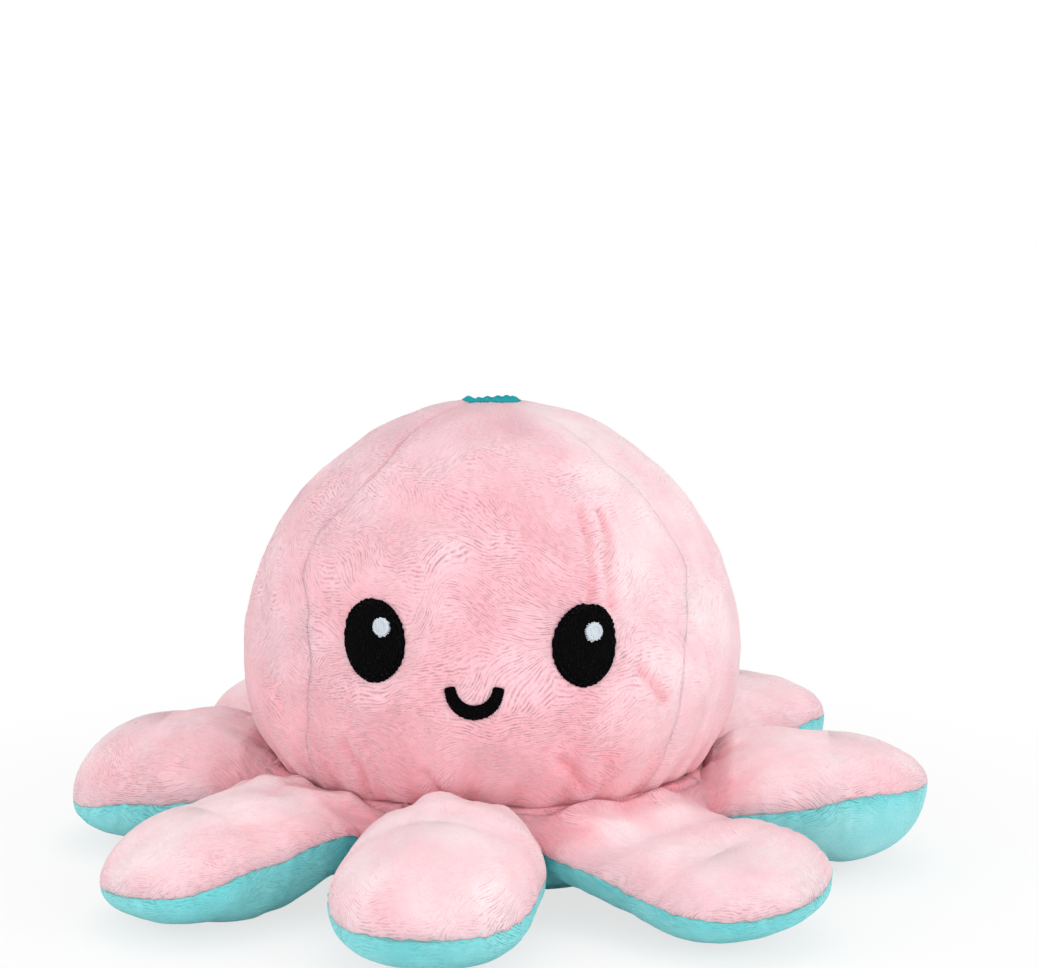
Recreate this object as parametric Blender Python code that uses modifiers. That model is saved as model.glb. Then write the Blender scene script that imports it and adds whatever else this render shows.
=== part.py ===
"""A reversible plush octopus, 20 cm across its eight arms, pink side out.

Metres, +Z up. The origin is on the floor, under the middle of the head. The face
looks along -Y, and arm_1 lies under it. Turns are measured from -Y towards +X.
"""

from math import acos, asin, atan2, copysign, cos, hypot, pi, radians, sin, sqrt, tan

import bmesh
import bpy
from mathutils import Matrix, Vector

# Cloth, thread and clearances
CLOTH_THICKNESS = 0.0016
SEAM_GAP = 0.0003
STITCH_THICKNESS = 0.0008
THREAD_RADIUS = 0.0004

# Arms: each swings about a hinge line near its root, tangent to the head
ARM_COUNT = 8
HINGE_RADIUS = 0.0515
HINGE_HEIGHT = 0.013
ARM_NOSE_RADIUS = 0.0065
ARM_LENGTH = 0.0485
ARM_CROWN = 0.0165
ARM_NOTCH_GAP = 0.0014
ARM_SPREAD = 0.0025
ARM_WIDENING_LENGTH = 0.012
ARM_SWELL_LENGTH = 0.020
ARM_TIP_ROUNDING = 0.0205
FOOT_CUT = 0.0005

# The ring between the head and the arms, hollowed to take the arms' noses
SKIRT_TOP_ANGLE = radians(115)
SKIRT_LIP_ANGLE = radians(250)
FOOT_ROUND_WIDTH = 0.0045
FOOT_FLAT_WIDTH = 0.0111
MOUTH_ROUND_WIDTH = 0.0035
MOUTH_HEIGHT = 0.003

# The head, and the hollow that a hand turns it through
HEAD_OVERHANG = 0.0094
NECK_TO_WIDEST = 0.025
HEAD_RISE = 0.059
CAVITY_BULGE = 0.006
CAVITY_WIDEST_HEIGHT = 0.036
CAVITY_RISE = 0.036
CROWN_HOLE_RADIUS = 0.002
HEAD_TURN = radians(5)
GORE_COUNT = 4

# The embroidered faces, and the tacks at the crowns
EYE_WIDTH = 0.0148
EYE_TALL = 0.0170
EYE_SPREAD_ANGLE = radians(22.9)
EYE_RISE = 0.0123
GLINT_WIDTH = 0.0041
GLINT_ASIDE = 0.0019
GLINT_RISE = 0.0028
SMILE_RADIUS = 0.0051
SMILE_STROKE = 0.0022
SMILE_RISE = 0.0036
LINING_EYE_SPREAD_ANGLE = radians(29)
LINING_EYE_TALL = 0.0160
LINING_EYE_RISE = 0.004
LINING_BROW_RISE = 0.0035
LINING_BROW_TILT = radians(7)
LINING_GLINT_RISE = 0.0008
LINING_FROWN_DROP = 0.0125
TACK_RADIUS = 0.007
LINING_TACK_RADIUS = 0.005

# Facets
TURN_STEPS = 36
HEAD_CURVE_STEPS = 10
CAVITY_CURVE_STEPS = 7
CHANNEL_STEPS = 5
CORNER_STEPS = 3
ARM_SIDES = 14
ARM_RINGS = 11
EYE_SIDES = 24
GLINT_SIDES = 12
SMILE_STEPS = 12
THREAD_SIDES = 5

# Shapes that are shares of the sizes above
PILLOW_SHARE = 0.83
ON_SEAM_SHARE = 0.001
ROOT_SQUARE_SHARE = 4
ARM_CROWN_SHARES = (0.93, 0.55, 1.0, 1.15, 1.0, 1.08, 1.05, 0.65)
CROWN_SWELL_SHARE = 1.25

# Colours (linear), and roughness
PINK = (0.93, 0.50, 0.56)
TEAL = (0.13, 0.61, 0.62)
FILL_WHITE = (0.90, 0.89, 0.86)
THREAD_BLACK = (0.012, 0.012, 0.014)
THREAD_WHITE = (0.86, 0.89, 0.93)
CLOTH_ROUGHNESS = 0.9
THREAD_ROUGHNESS = 0.55
MERGE_DISTANCE = 0.00001

# Places that follow from them
GORE_ANGLE = 2 * pi / GORE_COUNT
GORE_SHIFT = SEAM_GAP / (2 * sin(GORE_ANGLE / 2))
CHANNEL_RADIUS = ARM_NOSE_RADIUS + SEAM_GAP
FILL_INSET = CLOTH_THICKNESS + SEAM_GAP
ARM_STEP = 2 * pi / ARM_COUNT
ARM_ROOT_HALF_WIDTH = HINGE_RADIUS * tan(ARM_STEP / 2) - ARM_NOTCH_GAP
ARM_HALF_WIDTH = ARM_ROOT_HALF_WIDTH + ARM_SPREAD
NECK_REACH = CHANNEL_RADIUS + FILL_INSET
NECK_RADIUS = HINGE_RADIUS + NECK_REACH * cos(SKIRT_TOP_ANGLE)
NECK_HEIGHT = HINGE_HEIGHT + NECK_REACH * sin(SKIRT_TOP_ANGLE)
HEAD_RADIUS = NECK_RADIUS + HEAD_OVERHANG
HEAD_WIDEST_HEIGHT = NECK_HEIGHT + NECK_TO_WIDEST
HEAD_DROP = NECK_TO_WIDEST / sqrt(1 - (NECK_RADIUS / HEAD_RADIUS) ** 2)
NECK_CURVE_ANGLE = pi - asin(NECK_RADIUS / HEAD_RADIUS)
LIP_RADIUS = HINGE_RADIUS + CHANNEL_RADIUS * cos(SKIRT_LIP_ANGLE)
LIP_HEIGHT = HINGE_HEIGHT + CHANNEL_RADIUS * sin(SKIRT_LIP_ANGLE)
FOOT_RADIUS = LIP_RADIUS - FOOT_ROUND_WIDTH
MOUTH_EDGE_RADIUS = FOOT_RADIUS - FOOT_FLAT_WIDTH
MOUTH_RADIUS = MOUTH_EDGE_RADIUS - MOUTH_ROUND_WIDTH
CAVITY_RADIUS = MOUTH_RADIUS + CAVITY_BULGE
LINING_END_HEIGHT = MOUTH_HEIGHT + CLOTH_THICKNESS / 2
CAVITY_DROP = (CAVITY_WIDEST_HEIGHT - MOUTH_HEIGHT) / sqrt(1 - (MOUTH_RADIUS / CAVITY_RADIUS) ** 2)


def remove_all_objects():
    for item in list(bpy.data.objects):
        bpy.data.objects.remove(item, do_unlink=True)


def new_collection(name):
    collection = bpy.data.collections.new(name)
    bpy.context.scene.collection.children.link(collection)
    return collection


def new_material(name, colour, roughness):
    material = bpy.data.materials.new(name)
    material.use_nodes = True
    shader = material.node_tree.nodes["Principled BSDF"]
    shader.inputs["Base Color"].default_value = (*colour, 1)
    shader.inputs["Roughness"].default_value = roughness
    shader.inputs["Metallic"].default_value = 0
    return material


remove_all_objects()
PIECES = new_collection("plush_octopus")
GUIDES = new_collection("cutting_guides")
PINK_PILE = new_material("pink_pile_cloth", PINK, CLOTH_ROUGHNESS)
TEAL_PILE = new_material("teal_pile_cloth", TEAL, CLOTH_ROUGHNESS)
FILLING = new_material("white_fibre_filling", FILL_WHITE, CLOTH_ROUGHNESS)
BLACK_THREAD = new_material("black_embroidery_thread", THREAD_BLACK, THREAD_ROUGHNESS)
WHITE_THREAD = new_material("white_embroidery_thread", THREAD_WHITE, THREAD_ROUGHNESS)


def place(name, mesh, material, collection=PIECES):
    """One object with its mesh and material, smooth where it is round."""
    item = bpy.data.objects.new(name, mesh)
    collection.objects.link(item)
    if material:
        mesh.materials.append(material)
        mesh.shade_smooth()
    return item


def as_guide(item):
    item.hide_render = True
    item.display_type = "WIRE"
    return item


def mesh_from(name, shape):
    mesh = bpy.data.meshes.new(name)
    shape.to_mesh(mesh)
    shape.free()
    return mesh


def profile_mesh(name, points, closed):
    """A line through points given as (radius, height), for a Screw modifier."""
    count = len(points)
    edges = [(index, index + 1) for index in range(count - 1)]
    if closed:
        edges.append((count - 1, 0))
    mesh = bpy.data.meshes.new(name)
    mesh.from_pydata([(radius, 0, height) for radius, height in points], edges, [])
    return mesh


def add_screw(item, angle, steps, axis="Z"):
    screw = item.modifiers.new("turn", "SCREW")
    screw.axis = axis
    screw.angle = angle
    screw.steps = steps
    screw.render_steps = steps
    screw.use_merge_vertices = True
    screw.merge_threshold = MERGE_DISTANCE
    screw.use_normal_calculate = False


def add_solidify(item, thickness, offset):
    solidify = item.modifiers.new("thickness", "SOLIDIFY")
    solidify.thickness = thickness
    solidify.offset = offset
    solidify.use_even_offset = True


def turned_ring(name, points, material, collection=PIECES):
    """A closed profile turned all the way round."""
    item = place(name, profile_mesh(name, points, closed=True), material, collection)
    add_screw(item, 2 * pi, TURN_STEPS)
    return item


def egg_curve(radius, rise, drop, middle, start, end, steps):
    """Points down the side of an egg, at turns from its top measured at its middle height."""
    points = []
    for index in range(steps + 1):
        turn = start + (end - start) * index / steps
        length = rise if turn < pi / 2 else drop
        points.append((radius * sin(turn), middle + length * cos(turn)))
    return points


def head_curve(inset, hole=0.0):
    """The head's outside from the crown to the neck, moved inwards by inset."""
    return egg_curve(
        HEAD_RADIUS - inset,
        HEAD_RISE - inset,
        HEAD_DROP - inset,
        HEAD_WIDEST_HEIGHT,
        asin(hole / HEAD_RADIUS),
        NECK_CURVE_ANGLE,
        HEAD_CURVE_STEPS,
    )


def cavity_curve(outset, hole=0.0):
    """The hollow's wall from its top to its mouth, moved outwards by outset."""
    drop = CAVITY_DROP + outset
    return egg_curve(
        CAVITY_RADIUS + outset,
        CAVITY_RISE + outset,
        drop,
        CAVITY_WIDEST_HEIGHT,
        asin(hole / CAVITY_RADIUS),
        pi - acos((CAVITY_WIDEST_HEIGHT - LINING_END_HEIGHT) / drop),
        CAVITY_CURVE_STEPS,
    )


def channel_arc(inset, start, end):
    """Points round the hinge line, on the channel's wall moved inwards by inset."""
    reach = CHANNEL_RADIUS + inset
    points = []
    for index in range(CHANNEL_STEPS + 1):
        turn = start + (end - start) * index / CHANNEL_STEPS
        points.append((HINGE_RADIUS + reach * cos(turn), HINGE_HEIGHT + reach * sin(turn)))
    return points


def middle_angle(inset):
    """How far short of the channel's middle its two cloths stop."""
    return asin(SEAM_GAP / 2 / (CHANNEL_RADIUS + inset))


def upper_skirt_curve(inset):
    return channel_arc(inset, SKIRT_TOP_ANGLE, pi - middle_angle(inset))


def foot_curve(inset):
    """From the skirt's lip round to the floor, and in to the mouth."""
    width = FOOT_ROUND_WIDTH - inset
    height = LIP_HEIGHT - inset
    points = []
    for index in range(CORNER_STEPS + 1):
        turn = pi / 2 * index / CORNER_STEPS
        points.append((FOOT_RADIUS + width * cos(turn), LIP_HEIGHT - height * sin(turn)))
    width = MOUTH_ROUND_WIDTH - inset
    height = MOUTH_HEIGHT - inset
    for index in range(CORNER_STEPS + 1):
        turn = pi / 2 * index / CORNER_STEPS
        points.append((MOUTH_EDGE_RADIUS - width * sin(turn), MOUTH_HEIGHT - height * cos(turn)))
    return points


def under_skirt_curve(inset, start):
    """The channel's lower wall from start, then the foot, without what lies past their corner."""
    reach = CHANNEL_RADIUS + inset
    edge = FOOT_RADIUS + FOOT_ROUND_WIDTH - inset
    wall = [point for point in channel_arc(inset, start, SKIRT_LIP_ANGLE) if point[0] <= edge]
    clear = reach - MERGE_DISTANCE
    foot = [
        point
        for point in foot_curve(inset)
        if hypot(point[0] - HINGE_RADIUS, point[1] - HINGE_HEIGHT) > clear
    ]
    return wall + foot


def make_gores(stem, curve, material, offset, names):
    """Four cloth gores round an egg, a narrow gap apart along their seams."""
    for index, side in enumerate(names):
        name = f"{stem}_{side}"
        gore = place(name, profile_mesh(name, curve, closed=False), material)
        add_screw(gore, GORE_ANGLE, TURN_STEPS // GORE_COUNT)
        add_solidify(gore, CLOTH_THICKNESS, offset)
        middle = HEAD_TURN - pi / 2 + GORE_ANGLE * index
        gore.location = (GORE_SHIFT * cos(middle), GORE_SHIFT * sin(middle), 0)
        gore.rotation_euler = (0, 0, middle - GORE_ANGLE / 2)


def make_head_stuffing():
    """The filling: a thick dome over the hollow, with a collar that reaches the arms."""
    neck_radius, neck_height = head_curve(FILL_INSET)[-1]
    collar_start = atan2(neck_height - HINGE_HEIGHT, neck_radius - HINGE_RADIUS)
    collar_end = pi + middle_angle(FILL_INSET)
    collar = channel_arc(FILL_INSET, collar_start, collar_end)
    foot = under_skirt_curve(FILL_INSET, collar_end)[1:]
    hollow = cavity_curve(FILL_INSET + GORE_SHIFT)[::-1]
    turned_ring("head_stuffing", head_curve(FILL_INSET) + collar + foot + hollow, FILLING)


def make_skirt():
    top = upper_skirt_curve(0) + upper_skirt_curve(CLOTH_THICKNESS)[::-1]
    under_start = pi + middle_angle(0)
    inner_start = pi + middle_angle(CLOTH_THICKNESS)
    outside = under_skirt_curve(0, under_start)
    inside = under_skirt_curve(CLOTH_THICKNESS, inner_start)
    turned_ring("skirt_top", top, PINK_PILE)
    turned_ring("skirt_under", outside + inside[::-1], TEAL_PILE)


def smooth_step(share):
    share = min(max(share, 0), 1)
    return share * share * (3 - 2 * share)


def round_off(reach, start, end):
    """1 up to start, then a quarter of an ellipse down to 0 at end."""
    share = min(max((reach - start) / (end - start), 0), 1)
    return sqrt(1 - share * share)


def arm_half_width(reach, inset):
    """Half the arm's width at a reach past its hinge, moved inwards by inset."""
    nose = ARM_NOSE_RADIUS - inset
    root = ARM_ROOT_HALF_WIDTH - inset
    if reach < 0:
        share = min(-reach / nose, 1)
        return root * (1 - share**ROOT_SQUARE_SHARE) ** (1 / ROOT_SQUARE_SHARE)
    tip = ARM_LENGTH - inset
    width = root + ARM_SPREAD * smooth_step(reach / ARM_WIDENING_LENGTH)
    return width * round_off(reach, ARM_LENGTH - ARM_HALF_WIDTH, tip)


def arm_half_height(reach, inset, depth, swell_length):
    """The arm's height above or below its seam at a reach past its hinge."""
    nose = ARM_NOSE_RADIUS - inset
    if reach < 0:
        return sqrt(max(nose * nose - reach * reach, 0))
    tip = ARM_LENGTH - inset
    height = nose + (depth - ARM_NOSE_RADIUS) * smooth_step(reach / swell_length)
    return height * round_off(reach, ARM_LENGTH - ARM_TIP_ROUNDING, tip)


def arm_shape(inset, gap, crown):
    """A ball drawn out into an arm that points along -Y, as high as crown, its seam split by gap."""
    shape = bmesh.new()
    turn = Matrix.Rotation(pi / 2, 3, "X") @ Matrix.Rotation(pi / 2, 3, "Z")
    bmesh.ops.create_uvsphere(shape, u_segments=ARM_SIDES, v_segments=ARM_RINGS, radius=1)
    start = inset - ARM_NOSE_RADIUS
    end = ARM_LENGTH - inset
    for corner in shape.verts:
        ball = turn @ corner.co
        reach = start + (end - start) * (1 - ball.y) / 2
        ring = max(hypot(ball.x, ball.z), ON_SEAM_SHARE)
        across = ball.x / ring
        up = ball.z / ring
        depth = crown if up > 0 else HINGE_HEIGHT + FOOT_CUT
        swell_length = crown * CROWN_SWELL_SHARE if up > 0 else ARM_SWELL_LENGTH
        wide = copysign(abs(across) ** PILLOW_SHARE, across) * arm_half_width(reach, inset)
        half_height = arm_half_height(reach, inset, depth, swell_length)
        high = copysign(abs(up) ** PILLOW_SHARE * half_height + gap / 2, up)
        on_seam = abs(up) < ON_SEAM_SHARE
        corner.co = (wide, -reach, 0 if on_seam else high)
    return shape


def cut_foot(shape):
    """Cuts the underside flat where it meets the floor."""
    everything = shape.verts[:] + shape.edges[:] + shape.faces[:]
    cut = bmesh.ops.bisect_plane(
        shape,
        geom=everything,
        plane_co=(0, 0, -HINGE_HEIGHT),
        plane_no=(0, 0, -1),
        clear_outer=True,
    )
    rim = [part for part in cut["geom_cut"] if isinstance(part, bmesh.types.BMEdge)]
    bmesh.ops.edgeloop_fill(shape, edges=rim)


def half_of(shape, level):
    """Keeps the half of an arm's shape above its seam (level 1) or below it (-1)."""
    far = [face for face in shape.faces if level * face.calc_center_median().z < 0]
    bmesh.ops.delete(shape, geom=far, context="FACES")
    for corner in shape.verts:
        if abs(corner.co.z) < SEAM_GAP / 4:
            corner.co.z = level * SEAM_GAP / 2


def arm_cover_mesh(name, level, crown):
    """Half an arm's skin: an outer and an inner half shape, joined round the seam."""
    shape = arm_shape(0, SEAM_GAP, crown)
    half_of(shape, level)
    inner = arm_shape(CLOTH_THICKNESS, SEAM_GAP, crown)
    half_of(inner, level)
    bmesh.ops.reverse_faces(inner, faces=inner.faces[:])
    inner_mesh = mesh_from(f"{name}_inside", inner)
    shape.from_mesh(inner_mesh)
    bpy.data.meshes.remove(inner_mesh)
    open_edges = [edge for edge in shape.edges if edge.is_boundary]
    bmesh.ops.bridge_loops(shape, edges=open_edges)
    if level < 0:
        cut_foot(shape)
    bmesh.ops.recalc_face_normals(shape, faces=shape.faces[:])
    return mesh_from(name, shape)


def make_arms():
    """Eight arms, each as full as its filling, hung on an empty that lies on its hinge line."""
    for index in range(ARM_COUNT):
        turn = ARM_STEP * index
        name = f"arm_{index + 1}"
        crown = ARM_CROWN * ARM_CROWN_SHARES[index % len(ARM_CROWN_SHARES)]
        hinge = bpy.data.objects.new(f"{name}_hinge", None)
        PIECES.objects.link(hinge)
        hinge.location = (HINGE_RADIUS * sin(turn), -HINGE_RADIUS * cos(turn), HINGE_HEIGHT)
        hinge.rotation_euler = (0, 0, turn)
        hinge.empty_display_size = ARM_NOSE_RADIUS
        for stem, mesh, material in (
            ("top_cover", arm_cover_mesh(f"{name}_top_cover", 1, crown), PINK_PILE),
            ("under_cover", arm_cover_mesh(f"{name}_under_cover", -1, crown), TEAL_PILE),
            ("stuffing", mesh_from(f"{name}_stuffing", arm_shape(FILL_INSET, 0, crown)), FILLING),
        ):
            mesh.materials.append(material)
            mesh.shade_smooth()
            piece = place(f"{name}_{stem}", mesh, None)
            piece.parent = hinge


def stitch_layers():
    """Thin skins just off the cloth, from which the embroidery is cut."""
    near = GORE_SHIFT + SEAM_GAP
    layers = {}
    for depth, name in enumerate(("patch", "glint")):
        low = near + depth * (STITCH_THICKNESS + SEAM_GAP)
        high = low + STITCH_THICKNESS
        outer = head_curve(-high) + head_curve(-low)[::-1]
        inner = cavity_curve(-low) + cavity_curve(-high)[::-1]
        for side, points in (("head", outer), ("lining", inner)):
            guide = turned_ring(f"{side}_{name}_layer", points, None, GUIDES)
            guide.rotation_euler = (0, 0, HEAD_TURN)
            layers[side, name] = as_guide(guide)
    return layers


def cut_from(item, layer):
    boolean = item.modifiers.new("layer", "BOOLEAN")
    boolean.operation = "INTERSECT"
    boolean.object = layer
    boolean.solver = "EXACT"


def oval_mesh(name, width, height, length, sides, brow=None):
    """An oval bar along Y, cut straight across above by a tilted brow."""
    shape = bmesh.new()
    bmesh.ops.create_cone(
        shape,
        cap_ends=True,
        segments=sides,
        radius1=width / 2,
        radius2=width / 2,
        depth=length,
        matrix=Matrix.Rotation(pi / 2, 4, "X"),
    )
    bmesh.ops.scale(shape, vec=(1, 1, height / width), verts=shape.verts[:])
    if brow:
        rise, tilt = brow
        cut = bmesh.ops.bisect_plane(
            shape,
            geom=shape.verts[:] + shape.edges[:] + shape.faces[:],
            plane_co=(0, 0, rise),
            plane_no=(sin(tilt), 0, cos(tilt)),
            clear_outer=True,
        )
        rim = [part for part in cut["geom_cut"] if isinstance(part, bmesh.types.BMEdge)]
        bmesh.ops.edgeloop_fill(shape, edges=rim)
    bmesh.ops.recalc_face_normals(shape, faces=shape.faces[:])
    return mesh_from(name, shape)


def set_on_wall(item, radius, turn, height, roll=0.0):
    """Points a bar outwards from the axis, at a turn from the middle of the face."""
    way = HEAD_TURN + turn
    item.location = (radius * sin(way), -radius * cos(way), height)
    item.rotation_euler = (0, roll, way)


def make_oval(name, layer, wall, place_at, size, material, sides, brow=None):
    turn, height = place_at
    width, tall = size
    item = place(name, oval_mesh(name, width, tall, wall, sides, brow), material)
    set_on_wall(item, wall, turn, height)
    cut_from(item, layer)
    return item


def make_smile(name, layer, wall, height, material, roll):
    """Half a ring, standing in the wall, with its ends up, or down if rolled over."""
    inner = SMILE_RADIUS - SMILE_STROKE / 2
    outer = SMILE_RADIUS + SMILE_STROKE / 2
    item = place(name, profile_mesh(name, [(inner, 0), (outer, 0)], closed=False), material)
    add_screw(item, pi, SMILE_STEPS, axis="Y")
    add_solidify(item, wall, 0)
    set_on_wall(item, wall, 0, height, roll)
    cut_from(item, layer)


def make_outer_face(layers):
    eye_height = HEAD_WIDEST_HEIGHT + EYE_RISE
    for side, sign in (("left", -1), ("right", 1)):
        turn = sign * EYE_SPREAD_ANGLE
        glint_turn = turn + GLINT_ASIDE / HEAD_RADIUS
        make_oval(
            f"eye_{side}", layers["head", "patch"], HEAD_RADIUS,
            (turn, eye_height), (EYE_WIDTH, EYE_TALL), BLACK_THREAD, EYE_SIDES,
        )
        make_oval(
            f"eye_glint_{side}", layers["head", "glint"], HEAD_RADIUS,
            (glint_turn, eye_height + GLINT_RISE), (GLINT_WIDTH, GLINT_WIDTH), WHITE_THREAD, GLINT_SIDES,
        )
    smile_height = HEAD_WIDEST_HEIGHT + SMILE_RISE
    make_smile("smile", layers["head", "patch"], HEAD_RADIUS, smile_height, BLACK_THREAD, 0)


def make_lining_face(layers):
    eye_height = CAVITY_WIDEST_HEIGHT + LINING_EYE_RISE
    for side, sign in (("left", -1), ("right", 1)):
        turn = sign * LINING_EYE_SPREAD_ANGLE
        brow = (LINING_BROW_RISE, -sign * LINING_BROW_TILT)
        make_oval(
            f"lining_eye_{side}", layers["lining", "patch"], CAVITY_RADIUS,
            (turn, eye_height), (EYE_WIDTH, LINING_EYE_TALL), BLACK_THREAD, EYE_SIDES, brow,
        )
        make_oval(
            f"lining_eye_glint_{side}", layers["lining", "glint"], CAVITY_RADIUS,
            (turn, eye_height + LINING_GLINT_RISE), (GLINT_WIDTH, GLINT_WIDTH), WHITE_THREAD, GLINT_SIDES,
        )
    frown_height = CAVITY_WIDEST_HEIGHT - LINING_FROWN_DROP
    make_smile("lining_frown", layers["lining", "patch"], CAVITY_RADIUS, frown_height, BLACK_THREAD, pi)


def make_tack(name, layer, radius, height, material):
    """A round patch of stitches at a crown."""
    shape = bmesh.new()
    bmesh.ops.create_cone(
        shape, cap_ends=True, segments=EYE_SIDES, radius1=radius, radius2=radius, depth=HEAD_RISE
    )
    tack = place(name, mesh_from(name, shape), material)
    tack.location = (0, 0, height)
    cut_from(tack, layer)


def make_tacks(layers):
    crown = HEAD_WIDEST_HEIGHT + HEAD_RISE
    top = CAVITY_WIDEST_HEIGHT + CAVITY_RISE
    make_tack("crown_tack", layers["head", "patch"], TACK_RADIUS, crown, TEAL_PILE)
    make_tack("lining_crown_tack", layers["lining", "patch"], LINING_TACK_RADIUS, top, PINK_PILE)


def make_thread_ring(name, radius, height, material):
    bpy.ops.mesh.primitive_torus_add(
        major_segments=TURN_STEPS,
        minor_segments=THREAD_SIDES,
        major_radius=radius,
        minor_radius=THREAD_RADIUS,
        location=(0, 0, height),
    )
    ring = bpy.context.object
    ring.name = name
    ring.data.name = name
    ring.data.materials.append(material)
    ring.data.shade_smooth()
    for collection in ring.users_collection:
        collection.objects.unlink(ring)
    PIECES.objects.link(ring)


def make_seam_threads():
    """The thread that shows in the crease at the neck, and the one round the mouth."""
    neck = Vector((NECK_RADIUS, NECK_HEIGHT))
    skirt = Vector(upper_skirt_curve(0)[0])
    along = (neck - skirt).normalized()
    outward = Vector((along.y, -along.x))
    crease = (neck + skirt) / 2 + outward * (THREAD_RADIUS + SEAM_GAP)
    make_thread_ring("neck_seam_thread", crease.x, crease.y, PINK_PILE)
    mouth_radius = MOUTH_RADIUS - THREAD_RADIUS - SEAM_GAP
    make_thread_ring("mouth_seam_thread", mouth_radius, MOUTH_HEIGHT + SEAM_GAP / 2, TEAL_PILE)


def make_octopus():
    sides = ("front", "right", "back", "left")
    make_gores("head_gore", head_curve(0, CROWN_HOLE_RADIUS), PINK_PILE, -1, sides)
    make_gores("lining_gore", cavity_curve(0, CROWN_HOLE_RADIUS), TEAL_PILE, 1, sides)
    make_head_stuffing()
    make_skirt()
    make_arms()
    layers = stitch_layers()
    make_outer_face(layers)
    make_lining_face(layers)
    make_tacks(layers)
    make_seam_threads()


make_octopus()
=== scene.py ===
from math import asin, cos, pi, radians, sin, tan

import bpy
import numpy as np
from bpy.props import FloatProperty, FloatVectorProperty, PointerProperty
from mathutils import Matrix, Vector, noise


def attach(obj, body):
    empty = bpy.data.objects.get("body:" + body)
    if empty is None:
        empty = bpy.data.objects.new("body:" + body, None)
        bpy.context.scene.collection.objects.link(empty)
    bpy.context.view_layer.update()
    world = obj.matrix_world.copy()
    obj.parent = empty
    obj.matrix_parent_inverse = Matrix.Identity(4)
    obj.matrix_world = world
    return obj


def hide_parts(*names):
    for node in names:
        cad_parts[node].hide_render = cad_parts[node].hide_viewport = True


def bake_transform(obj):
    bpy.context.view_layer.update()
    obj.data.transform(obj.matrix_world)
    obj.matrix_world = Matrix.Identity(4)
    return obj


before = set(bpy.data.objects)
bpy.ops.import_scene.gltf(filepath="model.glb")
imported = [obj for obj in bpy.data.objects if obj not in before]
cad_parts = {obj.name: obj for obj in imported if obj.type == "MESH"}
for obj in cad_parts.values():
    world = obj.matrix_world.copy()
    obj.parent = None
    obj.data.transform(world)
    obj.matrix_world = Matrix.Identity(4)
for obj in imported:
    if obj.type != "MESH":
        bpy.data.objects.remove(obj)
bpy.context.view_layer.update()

bl_info = {
    "name": "Plush Octopus",
    "version": (1, 0, 0),
    "blender": (4, 5, 0),
    "location": "3D View > Sidebar > Octopus",
    "description": "Sews a reversible plush octopus with embroidered faces over its frame",
    "category": "Add Mesh",
}

MM = 0.001
SECTOR = radians(45)
SIDES = ("front", "right", "back", "left")
MERGE = 2e-6


# Where the cloth lies


class HeadSizes(bpy.types.PropertyGroup):
    """Sizes of the head's outer skin."""

    radius: FloatProperty(
        name="Radius", description="The head's widest radius", default=0.0572, unit="LENGTH"
    )
    middle: FloatProperty(
        name="Middle", description="Height of the widest place", default=0.046, unit="LENGTH"
    )
    rise: FloatProperty(
        name="Rise", description="From the widest place to the crown", default=0.0589, unit="LENGTH"
    )
    drop: FloatProperty(
        name="Drop", description="How deep the lower half would be if it closed",
        default=0.0457, unit="LENGTH",
    )
    turn: FloatProperty(
        name="Turn", description="Turn of the face from the front arm", default=radians(5), subtype="ANGLE"
    )
    hole: FloatProperty(
        name="Crown hole", description="Radius of the hole under the crown tack", default=0.002, unit="LENGTH"
    )
    tuck: FloatProperty(
        name="Tuck", description="Where the skin ends under the neck", default=radians(126), subtype="ANGLE"
    )
    cloth: FloatProperty(
        name="Cloth", description="Thickness of the skin with its pile", default=0.0022, unit="LENGTH"
    )


class ArmSizes(bpy.types.PropertyGroup):
    """Sizes of one arm."""

    hinge: FloatProperty(
        name="Root radius", description="From the middle to the arm's bend", default=0.0515, unit="LENGTH"
    )
    length: FloatProperty(
        name="Length", description="From the bend to the tip", default=0.0485, unit="LENGTH"
    )
    half_width: FloatProperty(
        name="Half width", description="Half the arm's width", default=0.0224, unit="LENGTH"
    )
    seam: FloatProperty(
        name="Seam height", description="Height of the seam round the arm", default=0.013, unit="LENGTH"
    )


class LiningSizes(bpy.types.PropertyGroup):
    """Sizes of the lining, which is the other head folded in."""

    radius: FloatProperty(
        name="Radius", description="The hollow's widest radius", default=0.0350, unit="LENGTH"
    )
    middle: FloatProperty(
        name="Middle", description="Height of the hollow's widest place", default=0.036, unit="LENGTH"
    )
    rise: FloatProperty(
        name="Rise", description="From the widest place to the hollow's top", default=0.0350, unit="LENGTH"
    )
    drop: FloatProperty(
        name="Drop", description="How deep the lower half would be if it closed",
        default=0.0599, unit="LENGTH",
    )
    tuck: FloatProperty(
        name="Tuck", description="Where the lining meets the mouth", default=radians(122.5), subtype="ANGLE"
    )
    cloth: FloatProperty(
        name="Cloth", description="Thickness of the lining with its pile", default=0.0020, unit="LENGTH"
    )


COLOUR = {"subtype": "COLOR", "size": 3, "min": 0, "max": 1}


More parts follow.
